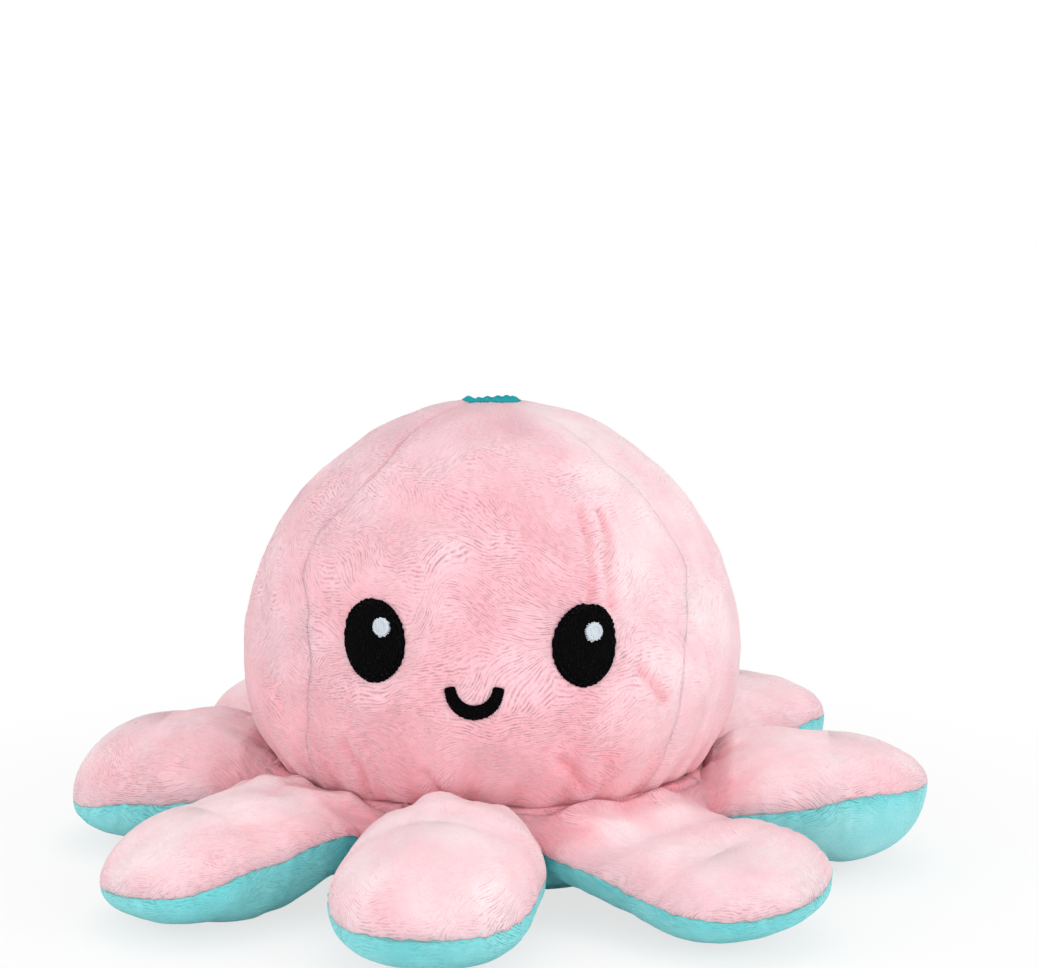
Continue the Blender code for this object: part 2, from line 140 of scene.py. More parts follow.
class ClothColours(bpy.types.PropertyGroup):
    """Colours of the cloths and threads, with paler ones for painted light and deeper ones for painted shade.
    """

    pink: FloatVectorProperty(
        name="Pink", description="Pink pile where it stands",
        default=(0.95, 0.55, 0.61), **COLOUR,
    )
    # Painted light: this paler pink is mixed in where light falls, on the tops of the arms and on the head's
    # upper and right sides.
    pale_pink: FloatVectorProperty(
        name="Pale pink", description="Pink pile where it lies flat",
        default=(0.96, 0.79, 0.81), **COLOUR,
    )
    parted_pink: FloatVectorProperty(
        name="Parted pink", description="Pink pile where it parts in fine lines",
        default=(0.52, 0.25, 0.31), **COLOUR,
    )
    # Painted shade: this deeper pink is mixed in deep in folds and seams, low on the head and under it, where
    # shade falls; it is also the colour of the pink seam threads.
    deep_pink: FloatVectorProperty(
        name="Deep pink", description="Pink pile deep in the folds",
        default=(0.97, 0.33, 0.385), **COLOUR,
    )
    teal: FloatVectorProperty(
        name="Teal", description="Teal pile where it stands",
        default=(0.25, 0.76, 0.78), **COLOUR,
    )
    # Painted light: this paler teal is mixed in where light falls on the arms' undersides.
    pale_teal: FloatVectorProperty(
        name="Pale teal", description="Teal pile where it lies flat",
        default=(0.42, 0.80, 0.81), **COLOUR,
    )
    parted_teal: FloatVectorProperty(
        name="Parted teal", description="Teal pile where it parts in fine lines",
        default=(0.07, 0.42, 0.45), **COLOUR,
    )
    # Painted shade: this deeper teal is mixed in deep in the lining's folds and seams and towards the mouth,
    # where shade falls; it is also the colour of the teal seam threads.
    deep_teal: FloatVectorProperty(
        name="Deep teal", description="Teal pile deep in the folds",
        default=(0.02, 0.41, 0.46), **COLOUR,
    )
    black: FloatVectorProperty(
        name="Black thread", description="Thread of the eyes and mouths",
        default=(0.0015, 0.0014, 0.0019), **COLOUR,
    )
    white: FloatVectorProperty(
        name="White thread", description="Thread of the glints",
        default=(0.74, 0.81, 0.88), **COLOUR,
    )


def head_sizes():
    return bpy.context.scene.octopus_head


def arm_sizes():
    return bpy.context.scene.octopus_arm


def lining_sizes():
    return bpy.context.scene.octopus_lining


def smooth(share):
    share = np.clip(share, 0, 1)
    return share * share * (3 - 2 * share)


def wander(height, heights, values):
    """A line that eases from value to value as the height grows."""
    height = np.asarray(height, float)
    out = np.full(height.shape, float(values[0]))
    for low, high, start, end in zip(heights, heights[1:], values, values[1:]):
        out = np.where(height >= low, start + (end - start) * smooth((height - low) / (high - low)), out)
    return out


def lumps(points, size, seed):
    """Smooth noise from -1 to 1 at an array of points, in lumps of a given size."""
    places = points / size + seed
    return np.array([noise.noise(place) for place in places.tolist()])


def beside(a, b, seed=0.0):
    return np.column_stack([a, b, np.full(len(a), seed)])


def around(radius, facing, height):
    """Places at radii and heights, at angles in radians from the front."""
    return np.column_stack([radius * np.sin(facing), -radius * np.cos(facing), height])


# Tools for pieces of cloth


def deselect_all():
    if bpy.context.mode != "OBJECT":
        bpy.ops.object.mode_set(mode="OBJECT")
    bpy.ops.object.select_all(action="DESELECT")


def named(name):
    """The piece just added, under its own name."""
    piece = bpy.context.object
    piece.name = name
    piece.data.name = name
    return piece


def flat_pad(name, across, along, cuts):
    """A unit pad lying flat: fine faces on its outer side, coarse ones on its inner side."""
    deselect_all()
    bpy.ops.mesh.primitive_grid_add(
        x_subdivisions=across, y_subdivisions=along, size=1, location=(0.5, 0.5, 0)
    )
    bpy.ops.object.transform_apply(location=True, rotation=False, scale=False)
    pad = named(name)
    bpy.ops.object.mode_set(mode="EDIT")
    bpy.ops.mesh.select_all(action="SELECT")
    bpy.ops.mesh.extrude_region_move(TRANSFORM_OT_translate={"value": (0, 0, 1)})
    if cuts:
        bpy.ops.mesh.subdivide(number_cuts=cuts)
    bpy.ops.object.mode_set(mode="OBJECT")
    return pad


def points_of(piece):
    flat = np.empty(len(piece.data.vertices) * 3)
    piece.data.vertices.foreach_get("co", flat)
    return flat.reshape(-1, 3)


def shape(piece, placed, lay=None):
    """Moves a piece's points, and keeps how the pile lies on it as a UV map in metres."""
    mesh = piece.data
    if lay is not None:
        corners = np.empty(len(mesh.loops), int)
        mesh.loops.foreach_get("vertex_index", corners)
        while mesh.uv_layers:
            mesh.uv_layers.remove(mesh.uv_layers[0])
        layer = mesh.uv_layers.new(name="pile_lay")
        layer.data.foreach_set("uv", np.column_stack(lay)[corners].ravel())
    mesh.vertices.foreach_set("co", placed.ravel())
    mesh.update()


def close_up(piece):
    """Closes poles, turns the faces outwards and shades the piece smooth."""
    deselect_all()
    piece.select_set(True)
    bpy.context.view_layer.objects.active = piece
    bpy.ops.object.mode_set(mode="EDIT")
    bpy.ops.mesh.select_all(action="SELECT")
    bpy.ops.mesh.remove_doubles(threshold=MERGE)
    bpy.ops.mesh.normals_make_consistent(inside=False)
    bpy.ops.object.mode_set(mode="OBJECT")
    bpy.ops.object.shade_smooth()


def dress(piece, cloth, slot, *nodes):
    """Gives a piece its cloth or thread, hides the imported parts of the nodes it shows, and closes it."""
    piece.data.materials.clear()
    piece.data.materials.append(material(cloth))
    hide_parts(*nodes)
    close_up(piece)


# Materials


def fill(node, values):
    for key, value in values.items():
        node.inputs[key].default_value = value


class Nodes:
    """A material's node tree, with short ways to add to it."""

    def __init__(self, name):
        self.material = bpy.data.materials.new(name)
        self.material.use_nodes = True
        self.tree = self.material.node_tree
        self.shader = self.tree.nodes["Principled BSDF"]

    def add(self, kind, **values):
        node = self.tree.nodes.new(kind)
        for key, value in values.items():
            setattr(node, key, value)
        return node

    def link(self, source, target):
        self.tree.links.new(source, target)

    def place(self):
        return self.add("ShaderNodeTexCoord").outputs["Object"]

    def lay(self):
        return self.add("ShaderNodeUVMap", uv_map="pile_lay").outputs["UV"]

    def tone(self, name):
        return self.add("ShaderNodeAttribute", attribute_name=name).outputs["Fac"]

    def noise(self, vector, scale, detail=2.0, rough=0.5, output="Fac"):
        node = self.add("ShaderNodeTexNoise")
        fill(node, {"Scale": scale, "Detail": detail, "Roughness": rough})
        self.link(vector, node.inputs["Vector"])
        return node.outputs[output]

    def rows(self, vector, pitch, distortion, detail, detail_scale):
        """Wavy lines side by side, at a pitch in metres."""
        node = self.add("ShaderNodeTexWave", wave_type="BANDS", bands_direction="Y", wave_profile="SIN")
        fill(node, {"Scale": 0.314 / pitch, "Distortion": distortion})
        fill(node, {"Detail": detail, "Detail Scale": detail_scale})
        self.link(vector, node.inputs["Vector"])
        return node.outputs["Fac"]

    def stretch(self, vector, scale, tilt=0.0):
        node = self.add("ShaderNodeMapping")
        fill(node, {"Rotation": (0, 0, tilt), "Scale": scale})
        self.link(vector, node.inputs["Vector"])
        return node.outputs["Vector"]

    def calc(self, a, b, operation="ADD", clamp=False):
        node = self.add("ShaderNodeMath", operation=operation, use_clamp=clamp)
        for value, socket in zip((a, b), node.inputs):
            if isinstance(value, (int, float)):
                socket.default_value = value
            else:
                self.link(value, socket)
        return node.outputs[0]

    def remap(self, value, low, high, to_low=0.0, to_high=1.0):
        node = self.add("ShaderNodeMapRange")
        fill(node, {"From Min": low, "From Max": high, "To Min": to_low, "To Max": to_high})
        self.link(value, node.inputs["Value"])
        return node.outputs["Result"]

    def mix(self, fac, a, b):
        node = self.add("ShaderNodeMix", data_type="RGBA")
        for value, socket in zip((fac, a, b), (node.inputs[0], node.inputs[6], node.inputs[7])):
            if hasattr(value, "is_linked"):
                self.link(value, socket)
            else:
                socket.default_value = (*value, 1)
        return node.outputs[2]

    def bump(self, height, strength, distance):
        node = self.add("ShaderNodeBump")
        fill(node, {"Strength": strength, "Distance": distance})
        self.link(height, node.inputs["Height"])
        self.link(node.outputs["Normal"], self.shader.inputs["Normal"])


# flat is the paler colour of painted light, and deep the deeper colour of painted shade.
def pile_material(name, standing, flat, parted, deep):
    """Short soft pile that parts in fine lines across its lay, in drifting patches."""
    made = Nodes(name)
    place, lay, hollow, pale = made.place(), made.lay(), made.tone("hollow"), made.tone("pale")
    shift = made.add("ShaderNodeVectorMath", operation="MULTIPLY_ADD")
    shift.inputs[1].default_value = (0.014, 0.014, 0)
    made.link(made.noise(place, 52, 1.0, output="Color"), shift.inputs[0])
    made.link(lay, shift.inputs[2])
    drifted = shift.outputs["Vector"]
    leaning = made.noise(place, 62, 1.0)
    upright = made.calc(made.calc(leaning, 0.5, "SUBTRACT"), 0, "ABSOLUTE")
    ways = (
        (0.0, 0.00064, made.remap(upright, 0.05, 0.11, 1.0, 0.0)),
        (0.75, 0.00068, made.remap(leaning, 0.55, 0.61)),
        (-0.55, 0.00066, made.remap(leaning, 0.45, 0.39)),
    )
    ripples = 0.0
    for tilt, pitch, share in ways:
        tilted = made.stretch(drifted, (1, 1, 1), tilt)
        rows = made.rows(made.stretch(tilted, (0.7, 1, 1)), pitch, 4.6, 4.0, 1.3)
        broken = made.noise(made.stretch(tilted, (0.34 / pitch, 0.8 / pitch, 1)), 1.0, 2.5, 0.65)
        line = made.calc(made.remap(rows, 0.32, 1.0), made.remap(broken, 0.40, 0.62), "MULTIPLY")
        ripples = made.calc(ripples, made.calc(line, share, "MULTIPLY"))
    patches = made.remap(made.noise(place, 85), 0.34, 0.60, 0.45, 1.0)
    # The fine lines fade where the painted light is strongest.
    patches = made.calc(patches, made.remap(pale, 0.2, 0.95, 1.0, 0.25), "MULTIPLY")
    ripples = made.calc(ripples, patches, "MULTIPLY")
    fuzz = made.noise(made.stretch(drifted, (2300, 1700, 1)), 1.0, 3.0, 0.75)
    mottle = made.noise(place, 60, 4.0, 0.6)
    lie = made.calc(made.remap(mottle, 0.30, 0.70, -0.22, 0.22), made.remap(fuzz, 0.3, 0.7, -0.28, 0.28))
    # Painted light: the colour turns towards the paler one by the pale attribute, where light falls, and by
    # random mottle.
    colour = made.mix(made.calc(lie, pale, "ADD", True), standing, flat)
    # Painted shade: the colour turns towards the deeper one by the hollow attribute, in folds, seams and low
    # places, and in random low spots of mottle.
    low = made.calc(made.remap(mottle, 0.34, 0.62, 0.22, 0.0), made.remap(fuzz, 0.30, 0.60, 0.16, 0.0))
    colour = made.mix(made.calc(low, hollow, "ADD", True), colour, deep)
    gaps = made.calc(made.calc(ripples, 0.72, "MULTIPLY"), made.remap(fuzz, 0.50, 0.74, 0, 0.38), "ADD", True)
    made.link(made.mix(gaps, colour, parted), made.shader.inputs["Base Color"])
    fill(made.shader, {
        "Roughness": 0.95,
        "Specular IOR Level": 0.03,
        "Subsurface Weight": 0.45,
        "Subsurface Scale": 0.004,
        "Subsurface Radius": tuple(value**2 for value in flat),
        "Sheen Weight": 0.55,
        "Sheen Roughness": 0.45,
        "Sheen Tint": (*flat, 1),
    })
    made.bump(made.calc(made.calc(fuzz, 0.7, "MULTIPLY"), ripples, "SUBTRACT"), 0.75, 0.0006)
    return made.material


def thread_material(name, colour, pitch, roughness):
    """Satin stitches side by side along the piece's own lay, with painted specks of light, most of them on
    its border.
    """
    made = Nodes(name)
    # On thread pieces the hollow attribute holds the border ring.
    lay, border = made.lay(), made.tone("hollow")
    rows = made.rows(lay, pitch, 1.2, 2.0, 0.6)
    strands = made.noise(made.stretch(lay, (500, 5200, 1)), 1.0, 3.0, 0.6)
    dull = [value * 0.72 for value in colour]
    light = [min(1.0, value * 1.06 + 0.0005) for value in colour]
    # Painted highlight: a brighter copy of the thread's colour for the specks.
    painted_highlight = [min(1.0, value * 1.15 + 0.05) for value in colour]
    specks = made.remap(made.noise(made.stretch(lay, (2600, 3400, 1)), 1.0, 1.0), 0.60, 0.72)
    specks = made.calc(specks, made.remap(border, 0, 1, 0.25, 1.0), "MULTIPLY")
    thread = made.mix(made.calc(rows, strands, "MULTIPLY"), dull, light)
    made.link(made.mix(specks, thread, painted_highlight), made.shader.inputs["Base Color"])
    fill(made.shader, {"Roughness": roughness, "Specular IOR Level": 0.02})
    made.bump(made.calc(rows, strands), 0.6, 0.00025)
    return made.material


THREADS = {
    "black thread": ("black", 0.00038, 0.6),
    "white thread": ("white", 0.00038, 0.5),
    "pink thread": ("deep_pink", 0.0006, 0.6),
    "teal thread": ("deep_teal", 0.0006, 0.6),
}


def material(name):
    """The cloth or thread of a name, made the first time it is asked for."""
    if name in bpy.data.materials:
        return bpy.data.materials[name]
    colours = bpy.context.scene.octopus_colours
    if name in THREADS:
        key, pitch, roughness = THREADS[name]
        return thread_material(name, tuple(getattr(colours, key)), pitch, roughness)
    cloth = name.split()[0]
    kinds = ("", "pale_", "parted_", "deep_")
    return pile_material(name, *(tuple(getattr(colours, kind + cloth)) for kind in kinds))


# The head

SEAM_HEIGHTS = {
    "left": (20, 33, 41, 52, 61, 72, 78, 86, 94, 105),
    "right": (20, 25, 32, 46, 55, 63, 72, 85, 95, 105),
}
SEAM_TURNS = {
    "left": (-46, -44, -41, -39.5, -42.5, -48.5, -48, -44, -41, -45),
    "right": (44, 45, 46.5, 47.5, 49, 52.5, 57, 54, 48, 45),
}
CREASES = (
    ((28.5, 84), (28.2, 78.7), (27.1, 72.9), (25.3, 66.5)),
    ((34.5, 84), (34.2, 79.4), (30.9, 72.7), (30.7, 66.0)),
    ((35.6, 52.0), (38.9, 48.7), (42.2, 45.0)),
    ((17.6, 34.2), (20.6, 32.0), (25.5, 26.4)),
    ((-12, 31), (-9, 26.5), (-8, 22)),
    ((-31, 36), (-28, 30), (-29, 24)),
    ((52, 60), (58, 52), (61, 44)),
    ((66, 40), (63, 33), (64, 25)),
    ((118, 40), (122, 33), (120, 25)),
    ((170, 44), (176, 35), (174, 26)),
    ((-150, 42), (-146, 34), (-149, 25)),
    ((-100, 38), (-104, 31), (-103, 24)),
)
CREASE_DEPTHS = (0.8, 0.9, 1.1, 0.9, 0.6, 0.7, 0.3, 0.3, 0.8, 0.9, 0.9, 0.8)
EYES = {"left": (-23.5, 58.7), "right": (23.3, 58.1)}
EYE_SIZE = (7.25, 8.5)
GLINT_SIZE = (1.9, 1.85)
GLINTS = {"left": (-21.3, 61.6), "right": (25.1, 60.7)}
EYE_LIFT, GLINT_LIFT = 0.30, 1.0
EYE_TEETH, GLINT_TEETH = 0.16, 0.22
SMILE = (-0.9, 50.0, 5.0)
SMILE_STROKE = 1.4
STROKE_FACES = (10, 110, 1)
GORE_FACES = (38, 46, 3)
GORE_TRIM = 0.00005


def profile(skin, turn):
    """Radius, height and outward direction at a turn down the side of the head or of the lining."""
    length = np.where(turn < pi / 2, skin.rise, skin.drop)
    out = np.column_stack([length * np.sin(turn), skin.radius * np.cos(turn)])
    out /= np.linalg.norm(out, axis=1)[:, None]
    return skin.radius * np.sin(turn), skin.middle + length * np.cos(turn), out[:, 0], out[:, 1]


def turn_at(skin, height):
    """The turn down the side of the head or of the lining at a height in millimetres."""
    part = np.asarray(height, float) * MM - skin.middle
    return np.arccos(np.clip(part / np.where(part > 0, skin.rise, skin.drop), -1, 1))


def seam_turn(name, height):
    """Turn in degrees of one of the head's four seams at a height in millimetres."""
    if name in SEAM_TURNS:
        return wander(height, SEAM_HEIGHTS[name], SEAM_TURNS[name])
    side = 1 if name == "back right" else -1
    return side * (135 + 2.5 * np.sin(height / 9.0 + side))


def seam_between(side, height):
    """The turns of the seams at both sides of a gore."""
    left, right = seam_turn("left", height), seam_turn("right", height)
    back_right, back_left = seam_turn("back right", height), seam_turn("back left", height)
    return {
        "front": (left, right),
        "right": (right, back_right),
        "back": (back_right, back_left + 360),
        "left": (back_left, left),
    }[side]


def line_distance(across, up, line):
    """Distance of points from a line through points."""
    best = np.full(across.shape, 1e9)
    for (x0, y0), (x1, y1) in zip(line, line[1:]):
        dx, dy = x1 - x0, y1 - y0
        share = np.clip(((across - x0) * dx + (up - y0) * dy) / (dx * dx + dy * dy), 0, 1)
        best = np.minimum(best, np.hypot(across - x0 - share * dx, up - y0 - share * dy))
    return best


def head_relief(azimuth, turn, fine):
    """How far the skin stands out, in millimetres, at relative azimuths in degrees, and how much painted
    shade it gets in its hollows.
    """
    head = head_sizes()
    radius, height, _, _ = profile(head, turn)
    up = height / MM
    wrapped = (azimuth + 180) % 360 - 180
    place = around(radius, np.radians(azimuth), height)
    relief = 0.8 * lumps(place, 0.028, 3.1) + 0.42 * lumps(place, 0.012, 7.7)
    relief += 0.22 * lumps(place, 0.0052, 1.9)
    hollow = np.zeros(len(up))
    seams = [seam_turn(name, up) for name in ("left", "right", "back right", "back left")]
    gap = np.min([np.abs((wrapped - seam + 180) % 360 - 180) for seam in seams], axis=0)
    gap = np.radians(gap) * radius / MM
    valley = np.exp(-((gap / 0.9) ** 2))
    sharp = np.where(wrapped < 0, 0.25 + 0.75 * smooth((up - 78) / 12), 0.12)
    relief -= (0.24 * valley + 0.12 * np.exp(-((gap / 3.0) ** 2))) * sharp
    relief -= 0.20 * np.exp(-((gap / 2.2) ** 2)) * lumps(beside(up, np.sign(wrapped) * 9), 1.8, 5.5)
    # Painted shade along the seams.
    hollow += valley * sharp * (0.30 + 0.30 * lumps(beside(up, np.sign(wrapped) * 5), 3.0, 2.5))
    scale = radians(1) * head.radius / MM
    for line, depth in zip(CREASES, CREASE_DEPTHS):
        inside = np.abs(wrapped - line[0][0]) < 25
        if not inside.any():
            continue
        across = wrapped[inside] * scale
        far = line_distance(across, up[inside], [(x * scale, y) for x, y in line])
        dent = np.exp(-((far / 1.25) ** 2))
        relief[inside] -= depth * dent - 0.35 * depth * np.exp(-(((far - 2.9) / 1.5) ** 2))
        # Painted shade in each crease.
        hollow[inside] += 0.30 * depth * dent
    gather = smooth((40 - up) / 19)
    folds = np.sin(np.radians(wrapped) * 31 + 2.2 * lumps(beside(wrapped, up), 14.0, 2.2))
    relief += gather * (0.75 * folds * (0.55 + 0.45 * lumps(beside(wrapped, up * 0.3), 9.0, 8.4)) - 0.35)
    # Painted shade in the gathered folds, over the lower head and in the crease under the neck.
    blush = 0.30 * gather * np.clip(-folds, 0, 1) + 0.27 * smooth((58 - up) / 34)
    hollow += blush + 0.4 * smooth((25 - up) / 4)
    for name, (aside, middle) in EYES.items():
        across = np.radians(wrapped - aside) * radius / MM
        ring = np.hypot(across / (EYE_SIZE[0] + 0.2), (up - middle) / (EYE_SIZE[1] + 0.2))
        relief -= 0.55 * smooth((1.05 - ring) / 0.10) + 0.5 * np.exp(-(((ring - 1.1) / 0.22) ** 2))
    far = line_distance(np.radians(wrapped) * radius / MM, up, smile_line())
    relief -= 0.5 * np.exp(-((far / 2.0) ** 2))
    if fine:
        lay = beside(np.radians(azimuth) * 55 / 1.7, turn * 57 / 5.0, 0.5)
        relief += 0.13 * lumps(lay, 1.0, 0.0)
    return relief, np.clip(hollow, 0, 1)


def on_head(azimuth, turn, lift=0.0, fine=False):
    """Places on the head's skin at relative azimuths in degrees, lifted by millimetres."""
    head = head_sizes()
    radius, height, out_side, out_up = profile(head, turn)
    relief, hollow = head_relief(azimuth, turn, fine)
    stand = (relief + lift) * MM
    radius = radius + out_side * stand
    height = height + out_up * stand
    facing = np.radians(azimuth) + head.turn
    return around(radius, facing, height), hollow


def mark_tones(piece, hollow, pale):
    """Keeps for the cloth's colour how much painted shade each point gets, deep in the folds, and how much
    painted light, where light falls on the pile.
    """
    for name, values in (("hollow", hollow), ("pale", pale)):
        attribute = piece.data.attributes.new(name, "FLOAT", "POINT")
        attribute.data.foreach_set("value", np.clip(values, 0, 1).astype(np.float32))


def sew_gore(side):
    """One quarter of the head's skin, from the crown to the neck."""
    head = head_sizes()
    piece = flat_pad(f"head_skin_{side}", *GORE_FACES)
    across, along, level = points_of(piece).T
    start = asin(head.hole / head.radius)
    turn = start + (head.tuck - start) * along
    radius, height, out_side, out_up = profile(head, turn)
    low, high = seam_between(side, height / MM)
    trim = np.degrees(GORE_TRIM / radius)
    azimuth = low + trim + (high - low - 2 * trim) * across
    outer, hollow = on_head(azimuth, turn, 0.0, True)
    facing = np.radians(azimuth) + head.turn
    inner = around(radius - out_side * head.cloth * 1.6, facing, height - out_up * head.cloth * 1.6)
    placed = np.where(level[:, None] > 0.5, outer, inner)
    shape(piece, placed, (np.radians(azimuth) * head.radius, turn * head.radius))
    # Painted light: the pile is painted paler high on the head and on its right side, where the light falls.
    painted_light = 0.10 + 0.14 * smooth((height / MM - 58) / 30)
    painted_light = painted_light + 0.60 * smooth((azimuth - 22) / 24) * smooth((150 - azimuth) / 40)
    mark_tones(piece, hollow, painted_light)
    dress(piece, "pink pile", "pink_pile", f"head_gore_{side}")
    if side == "front":
        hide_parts("head_stuffing")
    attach(piece, "head")


class OCTOPUS_OT_head(bpy.types.Operator):
    """Sews the head's four gores"""

    bl_idname = "octopus.head"
    bl_label = "Head"

    def execute(self, context):
        for side in SIDES:
            sew_gore(side)
        return {"FINISHED"}


# The face


def smile_line():
    """The smile's middle line, in millimetres on the unrolled head."""
    middle, height, radius = SMILE
    turns = np.linspace(radians(188), radians(352), 25)
    return [(middle + radius * cos(turn), height + radius * sin(turn)) for turn in turns]


def oval(name, spot, half, lift, place, teeth=EYE_TEETH, brow=None):
    """A domed oval with a raised border and ragged edge, its top cut along a brow line where it has one."""
    deselect_all()
    bpy.ops.mesh.primitive_uv_sphere_add(segments=180, ring_count=44, radius=1)
    piece = named(name)
    ball = points_of(piece)
    flat = np.hypot(ball[:, 0], ball[:, 1])
    angle = np.arctan2(ball[:, 1], ball[:, 0])
    ring = np.sin(np.clip(flat, 0, 1) * pi / 2) ** 0.9
    across = half[0] * ring * np.cos(angle)
    up = half[1] * ring * np.sin(angle)
    if brow:
        line = brow[0] + brow[1] * across
        full = half[1] * np.sqrt(np.clip(1 - (across / half[0]) ** 2, 1e-4, 1))
        up = np.where(up > 0, up * np.minimum(1, line / full), up)
    rag = lumps(beside(across * 3.2, up * 3.2, spot[0]), 1.0, 4.0)
    rag += 0.8 * np.sin(up * 19 + 3 * np.sin(across))
    grow = 1 + teeth * rag * smooth((ring - 0.9) / 0.08) / max(half)
    across, up = across * grow, up * grow
    rim = 1 - 0.8 / max(half)
    border = 0.20 * smooth((ring - rim + 0.03) / 0.03) * (1 - smooth((ring - 0.95) / 0.05))
    dome = 0.55 * (1 - ring**12) + border
    dome = dome - 0.16 * np.exp(-(((ring - rim + 0.03) / 0.018) ** 2))
    high = np.where(ball[:, 2] > -0.001, lift + dome, lift - 0.45)
    shape(piece, place(spot[0] + across, spot[1] + up, high), (up * MM, across * MM))
    # The border ring, where the thread's painted specks of light gather most.
    mark_tones(piece, np.exp(-(((ring - rim + 0.02) / 0.025) ** 2)), ring)
    return piece


def stitch(piece, thread, slot, node):
    """Dresses a stitched piece and fixes it to the head."""
    dress(piece, thread, slot, node)
    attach(piece, "head")


def embroider_line(name, line, half, node, place):
    """A satin-stitched stroke with blunt ends along a line of points in millimetres."""
    piece = flat_pad(name, *STROKE_FACES)
    across, along, level = points_of(piece).T
    line = np.array(line)
    lengths = np.concatenate([[0], np.cumsum(np.hypot(*np.diff(line, axis=0).T))])
    total = lengths[-1]
    reach = -half + (total + 2 * half) * (0.5 - 0.5 * np.cos(pi * along))
    held = np.clip(reach, 0, total)
    x, y = (np.interp(held, lengths, part) for part in line.T)
    ahead, behind = (np.clip(held + step, 0, total) for step in (0.2, -0.2))
    dx, dy = (np.interp(ahead, lengths, part) - np.interp(behind, lengths, part) for part in line.T)
    size = np.hypot(dx, dy)
    dx, dy = dx / size, dy / size
    beyond = reach - held
    width = half * np.clip(1 - np.abs(beyond / half) ** 3.5, 0, None) ** (1 / 3.5)
    width = width * (0.88 + 0.22 * np.sin(pi * held / total))
    beyond = beyond * 0.7
    side = (across - 0.5) * 2
    rag = 1 + 0.13 * lumps(beside(reach * 2.2, side), 1.0, 3.0) + 0.05 * np.sin(reach * 15)
    x = x + dx * beyond - dy * side * width * rag
    y = y + dy * beyond + dx * side * width * rag
    dome = np.sqrt(np.clip(1 - side**2, 0, 1)) * width / half
    high = np.where(level > 0.5, 0.10 + 0.62 * dome, -0.35)
    shape(piece, place(x, y, high), (side * half * MM, reach * MM))
    stitch(piece, "black thread", "black_thread", node)


def face_spot(aside, height):
    """Millimetres across and up on the unrolled head, from a relative azimuth and a height."""
    head = head_sizes()
    return radians(aside) * profile(head, turn_at(head, height))[0] / MM, height


def on_face(x, y, high):
    head = head_sizes()
    turn = turn_at(head, y)
    return on_head(np.degrees(x / (profile(head, turn)[0] / MM)), turn, high)[0]


class OCTOPUS_OT_face(bpy.types.Operator):
    """Embroiders the eyes, their glints and the smile"""

    bl_idname = "octopus.face"
    bl_label = "Face"

    def execute(self, context):
        for side, spot in EYES.items():
            eye = oval(f"embroidered_eye_{side}", face_spot(*spot), EYE_SIZE, EYE_LIFT, on_face)
            stitch(eye, "black thread", "black_thread", f"eye_{side}")
        for side, spot in GLINTS.items():
            name = f"embroidered_glint_{side}"
            glint = oval(name, face_spot(*spot), GLINT_SIZE, GLINT_LIFT, on_face, GLINT_TEETH)
            stitch(glint, "white thread", "white_thread", f"eye_glint_{side}")
        embroider_line("embroidered_smile", smile_line(), SMILE_STROKE, "smile", on_face)
        return {"FINISHED"}


# The crown and the seams

TACK_SIZE, LINING_TACK_SIZE = 6.6, 4.8
NECK_RING = (0.0470, 0.0192, 90)
MOUTH_RING = (0.0296, 0.0031, 60)


def as_drawn(x, y, high):
    return np.column_stack([x, y, high])


def on_crown(x, y, high):
    radius = np.hypot(x, y) * MM
    return on_head(np.degrees(np.arctan2(x, -y)), np.arcsin(radius / head_sizes().radius), high)[0]


def tack(name, radius, node, slot, thread, place):
    """A round of stitches drawn in at its middle, with a stitch's bump for each of its edge stitches."""
    piece = oval(name, (0, 0), (radius, radius), 0.0, as_drawn)
    x, y, high = points_of(piece).T
    ring = np.hypot(x, y) / radius
    turn = np.arctan2(y, x)
    rim = np.exp(-(((ring - 0.80) / 0.15) ** 2)) * (0.75 + 0.25 * np.cos(14 * turn))
    high = np.where(high > 0, 0.15 + 0.75 * rim + 0.12 * np.cos(6 * turn) * (1 - ring), high)
    shape(piece, place(x, y, high), (ring * radius * MM, turn * radius * MM))
    stitch(piece, thread, slot, node)


def stitched_ring(name, radius, height, count, node, slot, thread):
    """A ring of short stitches, one after the other."""
    deselect_all()
    bpy.ops.mesh.primitive_torus_add(
        major_radius=1, minor_radius=0.1, major_segments=count * 6, minor_segments=8, location=(0, 0, 0)
    )
    piece = named(name)
    x, y, z = points_of(piece).T
    turn = np.arctan2(y, x)
    out = np.hypot(x, y) - 1
    plump = 0.30 + 0.70 * np.abs(np.sin(count * turn / 2)) ** 0.6
    slant = 0.10 * np.sin(count * turn)
    far = radius + (out * plump * 4.0 + slant) * MM
    high = height + z * plump * 4.0 * MM
    placed = np.column_stack([far * np.cos(turn), far * np.sin(turn), high])
    shape(piece, placed, (z * 10 * MM, turn * radius))
    stitch(piece, thread, slot, node)


class OCTOPUS_OT_stitches(bpy.types.Operator):
    """Sews the neck's and the mouth's seams and the tack on the crown"""

    bl_idname = "octopus.stitches"
    bl_label = "Stitches"

    def execute(self, context):
        stitched_ring("neck_stitches", *NECK_RING, "neck_seam_thread", "pink_pile", "pink thread")
        stitched_ring("mouth_stitches", *MOUTH_RING, "mouth_seam_thread", "teal_pile", "teal thread")
        tack("crown_stitches", TACK_SIZE, "crown_tack", "teal_pile", "teal thread", on_crown)
        return {"FINISHED"}


# The lining

LINING_EYES = {"left": (-17.6, 40.0), "right": (17.6, 40.0)}
LINING_EYE_SIZE = (7.3, 8.0)
LINING_BROWS = {"left": (3.6, -0.12), "right": (3.6, 0.12)}
LINING_EYE_LIFT, LINING_GLINT_LIFT = 0.2, 0.9
LINING_FROWN = (0.0, 24.6, 4.9)
FROWN_STROKE = 1.2
LINING_FACES = (26, 34, 2)
LINING_TRIM = 0.00012


